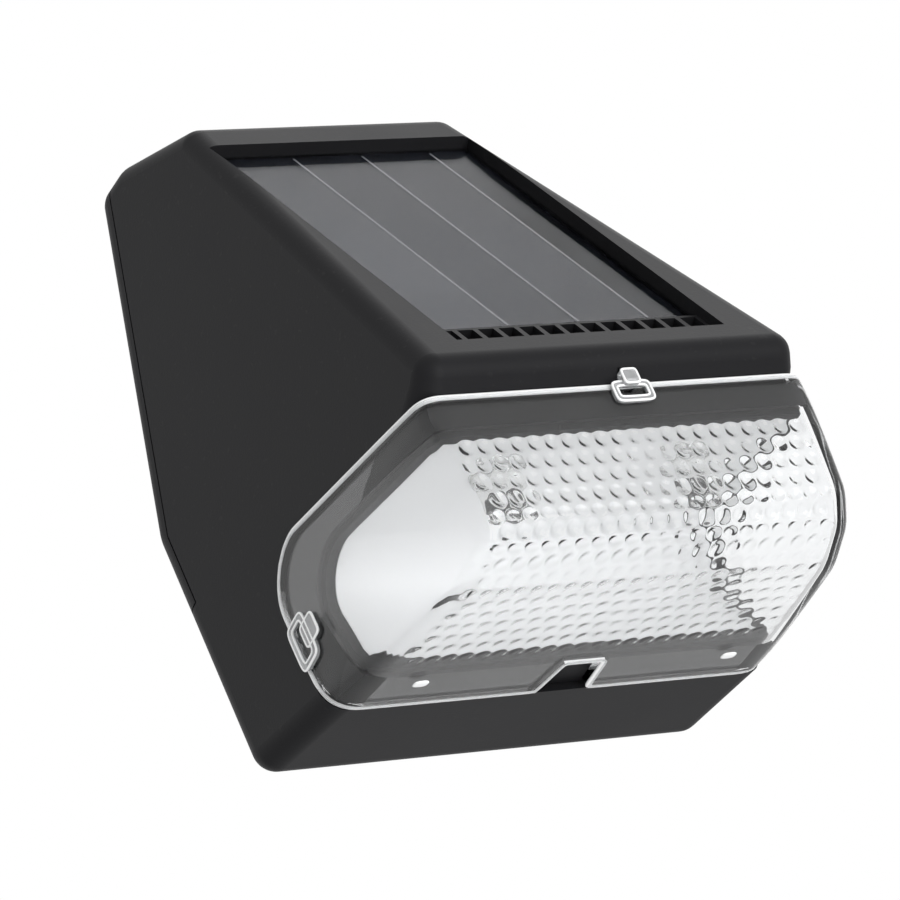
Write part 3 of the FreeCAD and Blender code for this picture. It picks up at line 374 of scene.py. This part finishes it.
# points are depth and height in mm; a reach is a half width and its change with depth and with height
lens = {
    "browFoot": (77.72, -37.98), "noseTop": (80.62, -58.98), "noseMid": (78.02, -63.38),
    "noseFoot": (71.02, -66.48), "heel": (39.30, -69.08), "noseRound": (5.0, 5.0, 13.0), "step": 0.36,
    "topGap": 0.7, "heelGap": 0.4, "proud": 0.3, "thickness": 2.0,
    "edgeRound": 3.2, "heelRound": 5.5, "turnShare": 0.82, "leastRound": 0.4, "mostShare": 0.9,
    "sideReach": (30.3, -0.03, -0.15), "endReach": (34.3, -0.186, 0.071), "creaseSoftness": 0.7,
    "heelDepth": 39.5, "heelLean": 20.4, "topFall": 0.04, "cornerRound": 8.3,
    "rearStep": 0.1, "rearLead": 1.2, "rearStop": 6.0,
    "capColumns": 14, "edgeColumns": 5, "sideColumns": 97, "notchColumns": 6,
    "bumpPitch": 2.9, "rowPitch": 3.0, "bumpRadius": 1.38, "bumpHeight": (0.31, 0.09), "bumpTurn": (25.0, 33.0),
    "plainTop": 8.2, "plainEnd": 10.2, "plainSide": 1.0,
    "notchStart": 47.7, "notchHalf": (3.6, 4.7), "notchShift": 1.2,
    "insidePoint": (0.0, -45.0, -50.0), "sharpAngle": 35,
}


def lensReach(depth, height, inset):
    # half width: the lower of the side plane and the lens end plane, blended softly where they cross
    a, b, c = lens["sideReach"]
    side = a + b * depth + c * height - inset
    a, b, c = lens["endReach"]
    end = a + b * (depth - lens["browFoot"][0]) + c * (height - lens["browFoot"][1]) - inset
    soft = lens["creaseSoftness"]
    return -soft * np.logaddexp(-side / soft, -end / soft)


def inwardOf(line):
    # unit vectors square to a side outline, its running direction turned a quarter towards the inside
    run = np.gradient(line, axis=0)
    run /= np.linalg.norm(run, axis=1)[:, None]
    return np.stack([run[:, 1], -run[:, 0]], 1)


def lensFront():
    # side outline of the front, nose and underside, pushed out by the amount the lens stands proud
    names = ("browFoot", "noseTop", "noseMid", "noseFoot", "heel")
    line = np.array([lens[name] for name in names])
    along = np.diff(line, axis=0)
    along /= np.linalg.norm(along, axis=1)[:, None]
    outward = np.stack([-along[:, 1], along[:, 0]], 1)
    moved = line.copy()
    moved[0] += outward[0] * lens["proud"] + along[0] * lens["topGap"]
    moved[-1] += outward[-1] * lens["proud"] - along[-1] * lens["heelGap"]
    for i in range(1, len(line) - 1):
        bend = outward[i - 1] + outward[i]
        moved[i] += bend / (bend @ outward[i]) * lens["proud"]
    return roundedLine(moved, lens["noseRound"], lens["step"])


def lensRear(front):
    # rear boundary of the lens ends, a point for each of the front: top line, round corner, leaning rear line
    lean = math.radians(lens["heelLean"])
    top, heel = front[0], front[-1]
    fall = lens["topFall"]
    run = (top[1] - heel[1] - fall * (top[0] - heel[0])) / (math.cos(lean) - fall * math.sin(lean))
    corner = heel + run * np.array([-math.sin(lean), math.cos(lean)])
    line, length = roundedLine([top, corner, heel], [lens["cornerRound"]], lens["rearStep"])
    start = np.linalg.norm(top - corner) - lens["cornerRound"] * lens["rearLead"]
    return readOff(line, length, np.linspace(start, length[-1] - lens["rearStop"], len(front)))


def bumpRise(across, along, reach, total):
    # low domes on a staggered lattice, each a spherical cap, lower underneath, none near the plain borders
    row = np.round((along - lens["plainTop"]) / lens["rowPitch"])
    offset = (row % 2) * lens["bumpPitch"] / 2
    column = np.round((across - offset) / lens["bumpPitch"])
    centreX = column * lens["bumpPitch"] + offset
    centreS = row * lens["rowPitch"] + lens["plainTop"]
    away = np.hypot(across - centreX, along - centreS)
    a, h = lens["bumpRadius"], np.interp(centreS, lens["bumpTurn"], lens["bumpHeight"])
    ball = (a * a + h * h) / (2 * h)
    dome = np.sqrt(np.maximum(ball * ball - away * away, 0)) - (ball - h)
    inside = (row >= 0) & (centreS < total - lens["plainEnd"]) & (np.abs(centreX) < reach - lens["plainSide"])
    return np.where(inside, np.maximum(dome, 0), 0)


def lensSheet(front, along, rear, inset, bumps):
    # one sheet from the rear edge of one end, round the front, to the rear edge of the other
    reach = lensReach(front[:, 0], front[:, 1], inset)
    gap = rear - front
    span = np.maximum(np.linalg.norm(gap, axis=1), tiny)
    grow = np.interp(-front[:, 0], [-lens["noseFoot"][0], -lens["heelDepth"]],
                     [lens["edgeRound"], lens["heelRound"]])
    cut = np.maximum(grow - lens["turnShare"] * (inset + lens["proud"]), lens["leastRound"])
    cut = np.minimum(cut, lens["mostShare"] * span)
    share = (cut / span)[:, None]
    v = np.linspace(1, 0, lens["capColumns"])[None, :]
    v = v + (1 - v) * share      # from the rear edge to where the round starts
    depth = front[:, :1] + gap[:, :1] * v
    height = front[:, 1:] + gap[:, 1:] * v
    cap = np.stack([lensReach(depth, height, inset), -depth, height], -1)
    corner = np.stack([reach, -front[:, 0], front[:, 1]], -1)[:, None, :]
    after = corner - np.array([1.0, 0, 0]) * cut[:, None, None]
    t = np.linspace(0, 1, lens["edgeColumns"] + 2)[1:-1][None, :, None]
    edge = cap[:, -1:] * (1 - t) ** 2 + corner * 2 * t * (1 - t) + after * t * t
    notchHalf = np.interp(-front[:, 0], [-lens["notchStart"], -lens["heelDepth"]], lens["notchHalf"])
    ends = np.linspace(0, 1, lens["sideColumns"])[None, :]
    sides = []
    for shift in (lens["notchShift"], -lens["notchShift"]):      # right half, then left half seen in a mirror
        side = (reach - cut)[:, None] * (1 - ends) + (notchHalf + shift)[:, None] * ends
        middle = shift + notchHalf[:, None] * np.linspace(1, 0, lens["notchColumns"] + 1)[None, 1:]
        sides.append(np.concatenate([side, middle], 1))
    across = np.concatenate([sides[0], -sides[1][:, -2::-1]], 1)
    rise = bumpRise(across, along[:, None], reach[:, None], along[-1]) if bumps else 0 * across
    inward = inwardOf(front)
    face = np.stack([across, -(front[:, :1] + inward[:, :1] * rise), front[:, 1:] + inward[:, 1:] * rise], -1)
    half = np.concatenate([cap, edge], 1)
    return np.concatenate([half, face, half[:, ::-1] * np.array([-1.0, 1, 1])], 1)


def surfaceNormals(sheet):
    # cross product of the two running directions of a grid, turned away from a point inside the lens
    normal = np.cross(np.gradient(sheet, axis=0), np.gradient(sheet, axis=1))
    normal /= np.maximum(np.linalg.norm(normal, axis=-1), tiny)[..., None]
    away = np.sum(normal * (sheet - np.array(lens["insidePoint"])), -1)
    return normal * np.where(away < 0, -1.0, 1.0)[..., None]


def buildLens():
    # outer sheet and inner sheet of the same grid, the notch left out, joined round every open edge
    front, along = lensFront()
    rear = lensRear(front)
    inner = front + inwardOf(front) * lens["thickness"]
    outside = lensSheet(front, along, rear, -lens["proud"], False)
    inside = lensSheet(inner, along, rear, lens["thickness"] - lens["proud"], True)
    rows, columns = outside.shape[:2]
    quads = gridQuads(rows, columns)
    notchRow = int(np.argmax((front[:, 0] < lens["notchStart"]) & (front[:, 1] < lens["noseFoot"][1])))
    notchLeft = columns // 2 - lens["notchColumns"]
    notchRight = columns // 2 + lens["notchColumns"]
    row, column = quads[:, 0] // columns, quads[:, 0] % columns
    quads = quads[~((row >= notchRow) & (column >= notchLeft) & (column < notchRight))]
    count = rows * columns
    faces = np.concatenate([quads, quads[:, ::-1] + count, rimQuads(quads, count)])
    points = np.concatenate([outside.reshape(-1, 3), inside.reshape(-1, 3)])
    used = np.unique(faces)      # the points inside the notch are left out
    renumber = np.zeros(len(points), int)
    renumber[used] = np.arange(len(used))
    piece = meshPiece("lensShell", points[used], renumber[faces], materials["clear_plastic"],
                      lens["sharpAngle"])
    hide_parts("lens")
    print("lens:", len(piece.data.polygons), "faces")
    # once round the open edge: one end, the underside with its notch, the other end, back along the top
    rowsDown, rowsUp = np.arange(rows), np.arange(rows)[::-1]
    loop = [(rowsDown, 0), (rows - 1, np.arange(1, notchLeft + 1)), (rowsUp[1:rows - notchRow], notchLeft),
            (notchRow, np.arange(notchLeft + 1, notchRight + 1)), (rowsDown[notchRow + 1:], notchRight),
            (rows - 1, np.arange(notchRight + 1, columns)), (rowsUp[1:], columns - 1),
            (0, np.arange(columns - 2, 0, -1))]
    normals = surfaceNormals(outside)
    edge = np.concatenate([outside[i, j].reshape(-1, 3) for i, j in loop])
    lift = np.concatenate([normals[i, j].reshape(-1, 3) for i, j in loop])
    return edge, lift


edgeBead = {"half": 0.52, "height": 0.28, "sunk": 0.34, "step": 0.5, "sides": 12, "smooth": 3, "sharpAngle": 60}


def smoothLoop(values):
    # each point of a closed line moved half way to the middle of its two neighbours
    return values * 0.5 + (np.roll(values, 1, 0) + np.roll(values, -1, 0)) * 0.25


def buildEdgeBead(edge, lift):
    # an ellipse carried round the whole edge of the lens and its notch, its middle sunk a little into the lens;
    # its pale finish is a painted highlight along the clear edge
    closed = np.concatenate([edge, edge[:1]])
    length = lengthsAlong(closed)
    even = np.arange(0, length[-1], edgeBead["step"])
    path = readOff(closed, length, even)
    normal = readOff(np.concatenate([lift, lift[:1]]), length, even)
    for _ in range(edgeBead["smooth"]):
        path, normal = smoothLoop(path), smoothLoop(normal)
    normal /= np.linalg.norm(normal, axis=1)[:, None]
    section = ellipseSection(edgeBead["half"], edgeBead["height"], edgeBead["sides"])
    points, quads = sweepLoop(path - normal * edgeBead["sunk"], normal, section)
    piece = meshPiece("lensEdgeBead", points, quads, materials["pale_plastic_and_highlight"],
                      edgeBead["sharpAngle"])
    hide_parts("lens")
    print("edge bead:", len(quads), "faces")


clips = {"proud": 0.9, "root": 0.2, "line": 0.2, "topShift": 2.0, "topEdge": 0.2, "sideDepth": 37.3,
         "sideHeight": -56.98, "ringPoints": 96, "ringPower": 0.34, "sectionPoints": 16, "sectionPower": 0.45,
         "linePoints": 8, "tabPower": 0.3, "tabSides": 10, "sharpAngle": 50,
         "top": {"width": 6.8, "height": 3.6, "rim": 0.9, "tabHalf": 1.4, "tabReach": 1.3, "tabShift": 2.1,
                 "tabLow": 0.0, "tabHigh": 1.7},
         "side": {"width": 8.8, "height": 5.0, "rim": 1.1, "tabHalf": 2.2, "tabReach": 2.0, "tabShift": 2.5,
                  "tabLow": 0.5, "tabHigh": 0.9}}


def squareSweep(halfWide, halfHigh, level, section, shift=0.0):
    # a section carried round a rounded rectangle, an ellipse with its sine and cosine softened by one power
    turn = np.linspace(0, 2 * math.pi, clips["ringPoints"], endpoint=False)
    path = np.stack([halfWide * soften(np.cos(turn), clips["ringPower"]),
                     halfHigh * soften(np.sin(turn), clips["ringPower"]) + shift, 0 * turn + level], 1)
    return sweepLoop(path, np.tile([0.0, 0, 1], (len(path), 1)), section)


def buildClip(name, centre, right, up, out, form):
    # clear ring and tab: a soft section round a rounded rectangle and a soft block; pale lines on their edges
    # are painted highlights
    wide, high, rim, line = form["width"] / 2, form["height"] / 2, form["rim"], clips["line"]
    wave = np.linspace(0, 2 * math.pi, clips["sectionPoints"], endpoint=False)
    thick = (clips["proud"] + clips["root"]) / 2
    section = np.stack([rim / 2 * soften(np.cos(wave), clips["sectionPower"]),
                        thick * soften(np.sin(wave), clips["sectionPower"])], 1)
    ring = squareSweep(wide - rim / 2, high - rim / 2, clips["proud"] - thick, section)
    tabThick, tabLevel = (form["tabHigh"] - form["tabLow"]) / 2, (form["tabHigh"] + form["tabLow"]) / 2
    block, blockQuads = roundedBlock((form["tabHalf"], form["tabReach"], tabThick), clips["tabPower"],
                                     clips["tabSides"])
    body = joinParts([ring, (block + [0, form["tabShift"], tabLevel], blockQuads)])
    wire = ellipseSection(line, line, clips["linePoints"])
    top = clips["proud"] - line / 2
    # thin pale wires round the ring's edges and the tab: painted highlights of the clear edges
    fine = joinParts([squareSweep(wide - line / 2, high - line / 2, top, wire),
                      squareSweep(wide - rim + line / 2, high - rim + line / 2, top, wire),
                      squareSweep(form["tabHalf"] - line / 2, form["tabReach"] - line / 2,
                                  form["tabHigh"] - line / 2, wire, form["tabShift"])])
    axes = np.array([right, up, out], float)
    axes /= np.linalg.norm(axes, axis=1)[:, None]
    for label, (points, quads), finish in (("Body", body, "clip_clear"), ("Edges", fine, "pale_plastic_and_highlight")):
        piece = meshPiece(name + label, np.asarray(centre) + points @ axes, quads, materials[finish],
                          clips["sharpAngle"])
        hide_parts("lens")


def buildClips():
    # one clip on the leaning front under the brow and one on each end, each square to the plane it sits on
    lean = math.atan2(lens["noseTop"][0] - lens["browFoot"][0], lens["browFoot"][1] - lens["noseTop"][1])
    up = np.array([0, math.sin(lean), math.cos(lean)])
    out = np.array([0, -math.cos(lean), math.sin(lean)])
    start = np.array([clips["topShift"], -lens["browFoot"][0], lens["browFoot"][1]])
    middle = start - up * (clips["topEdge"] + clips["top"]["height"] / 2)
    buildClip("clipTop", middle, (1, 0, 0), up, out, clips["top"])
    rear = math.radians(lens["heelLean"])
    a, b, c = lens["sideReach"]
    reach = a + b * clips["sideDepth"] + c * clips["sideHeight"]
    for name, side in (("clipRight", 1), ("clipLeft", -1)):
        centre = (side * reach, -clips["sideDepth"], clips["sideHeight"])
        out = np.array([side, b, -c])
        along = np.array([side * c * math.cos(rear), math.sin(rear), math.cos(rear)])
        buildClip(name, centre, along, np.cross(out, along) * side, out, clips["side"])
    print("clips: 3")


pegs = {"places": ((-27.0, 46.0), (28.0, 46.0)), "half": (1.3, 0.9, 0.25), "power": 0.7, "sides": 10,
        "sharpAngle": 60}


def buildPegs():
    # two low soft blocks on the bottom band of the lens, on the straight line from nose to heel
    slope = (lens["noseFoot"][1] - lens["heel"][1]) / (lens["noseFoot"][0] - lens["heel"][0])
    for number, (x, depth) in enumerate(pegs["places"]):
        height = lens["heel"][1] + slope * (depth - lens["heel"][0]) - lens["proud"]
        block, quads = roundedBlock(pegs["half"], pegs["power"], pegs["sides"])
        piece = meshPiece("lensPeg%d" % (number + 1), block + [x, -depth, height], quads,
                          materials["pale_plastic_and_highlight"], pegs["sharpAngle"])
        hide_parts("lens")
    print("pegs:", len(pegs["places"]))


# each part: sideways shift, half sizes and level, counted from a height that lies drop under the light board
lampFrames = {"spacing": 33.0, "depth": 66.0, "drop": 4.2, "power": 0.5, "sides": 5, "sharpAngle": 50,
              "parts": ((-0.8, (0.3, 0.5, 1.5), -5.4), (0.8, (0.3, 0.5, 1.5), -5.4),
                        (-0.5, (0.6, 0.6, 0.3), -7.0))}


def buildLampFrames():
    # inside each light: two flat posts and the small cup on one of them, all of them soft blocks
    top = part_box("led_board")[0][2] / mm - lampFrames["drop"]
    for name, side in (("lampFrameLeft", -1), ("lampFrameRight", 1)):
        middle = side * lampFrames["spacing"] / 2
        parts = []
        for shift, half, level in lampFrames["parts"]:
            block, quads = roundedBlock(half, lampFrames["power"], lampFrames["sides"])
            parts.append((block + [middle + shift, -lampFrames["depth"], top + level], quads))
        points, quads = joinParts(parts)
        meshPiece(name, points, quads, materials["lamp_frame"], lampFrames["sharpAngle"])
    print("lamp frames: 2")


# profile points are shares of half (across) and of thick (up from the cells)
collector = {"places": (-9.0, 3.5, 16.0), "half": 0.18, "thick": 0.05, "inset": 0.6, "sunk": 0.005, "rows": 40,
             "slope": 52.5, "profile": ((-1, 0), (-1, 1), (-0.6, 1.5), (0.6, 1.5), (1, 1), (1, 0)),
             "sharpAngle": 40}


def buildCollectors():
    # thin crowned strips over the joints of the cells: one profile carried straight down the panel's slope
    cells = nodes["solar_cells"].data
    corners = np.empty(len(cells.vertices) * 3)
    cells.vertices.foreach_get("co", corners)
    corners = corners.reshape(-1, 3) / mm
    slope = math.radians(collector["slope"])
    down = np.array([0, -math.cos(slope), -math.sin(slope)])
    out = np.array([0, -math.sin(slope), math.cos(slope)])
    face = (corners @ out).max() - collector["sunk"]
    low, high = (corners @ down).min() + collector["inset"], (corners @ down).max() - collector["inset"]
    middle = np.linspace(low, high, collector["rows"])[:, None] * down + out * face
    profile = np.array(collector["profile"]) * [collector["half"], collector["thick"]]
    strip = middle[:, None] + profile[None, :, :1] * np.array([1.0, 0, 0]) + profile[None, :, 1:] * out
    rows, columns = strip.shape[:2]
    lastRow = (rows - 1) * columns
    caps = [[start + i for i in corner] for corner in ((0, 1, 4, 5), (1, 2, 3, 4)) for start in (0, lastRow)]
    quads = np.concatenate([gridQuads(rows, columns, closedColumns=True), caps])
    for number, x in enumerate(collector["places"]):
        meshPiece("collectorLine%d" % (number + 1), strip.reshape(-1, 3) + [x, 0, 0], quads,
                  materials["collector_tin"], collector["sharpAngle"])
    print("collector lines:", len(collector["places"]))


buildEdgeBead(*buildLens())
buildClips()
buildPegs()
buildLampFrames()
buildCollectors()

stage = {"floorHeight": -1.2, "floorHalf": 6.0, "floorColor": (0.92, 0.92, 0.92), "floorRough": 0.9,
         "worldLight": 0.72}


def buildFloor():
    # one large flat square far under the light
    half, height = stage["floorHalf"], stage["floorHeight"]
    corners = [(x * half, y * half, height) for x, y in ((-1, -1), (1, -1), (1, 1), (-1, 1))]
    mesh = bpy.data.meshes.new("floor")
    mesh.from_pydata(corners, [], [(0, 1, 2, 3)])
    floor = bpy.data.objects.new("floor", mesh)
    bpy.context.scene.collection.objects.link(floor)
    material = bpy.data.materials.new("floorPaint")
    material.use_nodes = True
    shader = material.node_tree.nodes["Principled BSDF"]
    shader.inputs["Base Color"].default_value = (*stage["floorColor"], 1)
    shader.inputs["Roughness"].default_value = stage["floorRough"]
    mesh.materials.append(material)


def buildWorld():
    # white where the camera, a mirror or clear plastic looks; softer as a light
    world = bpy.data.worlds.new("softRoom")
    bpy.context.scene.world = world
    world.use_nodes = True
    tree = world.node_tree
    background = tree.nodes["Background"]
    background.inputs["Color"].default_value = (1, 1, 1, 1)
    rays = tree.nodes.new("ShaderNodeLightPath")
    seen = mathNode(tree, "ADD", rays.outputs["Is Camera Ray"], rays.outputs["Is Glossy Ray"])
    seen = mathNode(tree, "ADD", seen, rays.outputs["Is Transmission Ray"])
    seen = mathNode(tree, "MINIMUM", seen, 1.0)
    strength = mathNode(tree, "MULTIPLY", seen, 1.0 - stage["worldLight"])
    tree.links.new(mathNode(tree, "ADD", strength, stage["worldLight"]), background.inputs["Strength"])


lamps = {"keyAbove": {"place": (1.05, 0.25, 1.55), "target": (0, -0.04, 0), "size": 1.6, "power": 8.4},
         "fillFront": {"place": (0.25, -1.4, -0.35), "target": (0, -0.04, -0.03), "size": 1.2, "power": 16.0}}


def areaLight(name, place, target, size, power):
    # a round lamp at its place, turned to face its target
    data = bpy.data.lights.new(name, "AREA")
    data.shape = "DISK"
    data.size = size
    data.energy = power
    lamp = bpy.data.objects.new(name, data)
    bpy.context.scene.collection.objects.link(lamp)
    direction = (Vector(target) - Vector(place)).normalized()
    lamp.matrix_world = Matrix.Translation(place) @ direction.to_track_quat("-Z", "Y").to_matrix().to_4x4()


camera = {"place": (-0.5430, -0.77847, -0.37851), "azimuth": -36.110, "elevation": -20.925, "roll": -18.566,
          "lens": 262.02, "sensor": 36.0, "near": 0.05, "far": 50.0}


def buildCamera():
    # looks along the azimuth and elevation, then turns about its own line of sight by the roll
    a, e, roll = (math.radians(camera[key]) for key in ("azimuth", "elevation", "roll"))
    back = np.array([math.sin(a) * math.cos(e), -math.cos(a) * math.cos(e), math.sin(e)])
    level = np.array([math.cos(a), math.sin(a), 0])
    upright = np.cross(back, level)
    right = level * math.cos(roll) + upright * math.sin(roll)
    up = np.cross(back, right)
    turn = Matrix([[right[i], up[i], back[i]] for i in range(3)]).to_4x4()
    data = bpy.data.cameras.new("camera")
    data.lens = camera["lens"]
    data.sensor_width = camera["sensor"]
    data.clip_start = camera["near"]
    data.clip_end = camera["far"]
    shooter = bpy.data.objects.new("camera", data)
    bpy.context.scene.collection.objects.link(shooter)
    shooter.matrix_world = Matrix.Translation(camera["place"]) @ turn
    bpy.context.scene.camera = shooter


buildFloor()
buildWorld()
for name, settings in lamps.items():
    areaLight(name, **settings)
buildCamera()
bpy.context.scene.view_settings.view_transform = "Standard"
print("stage ready")
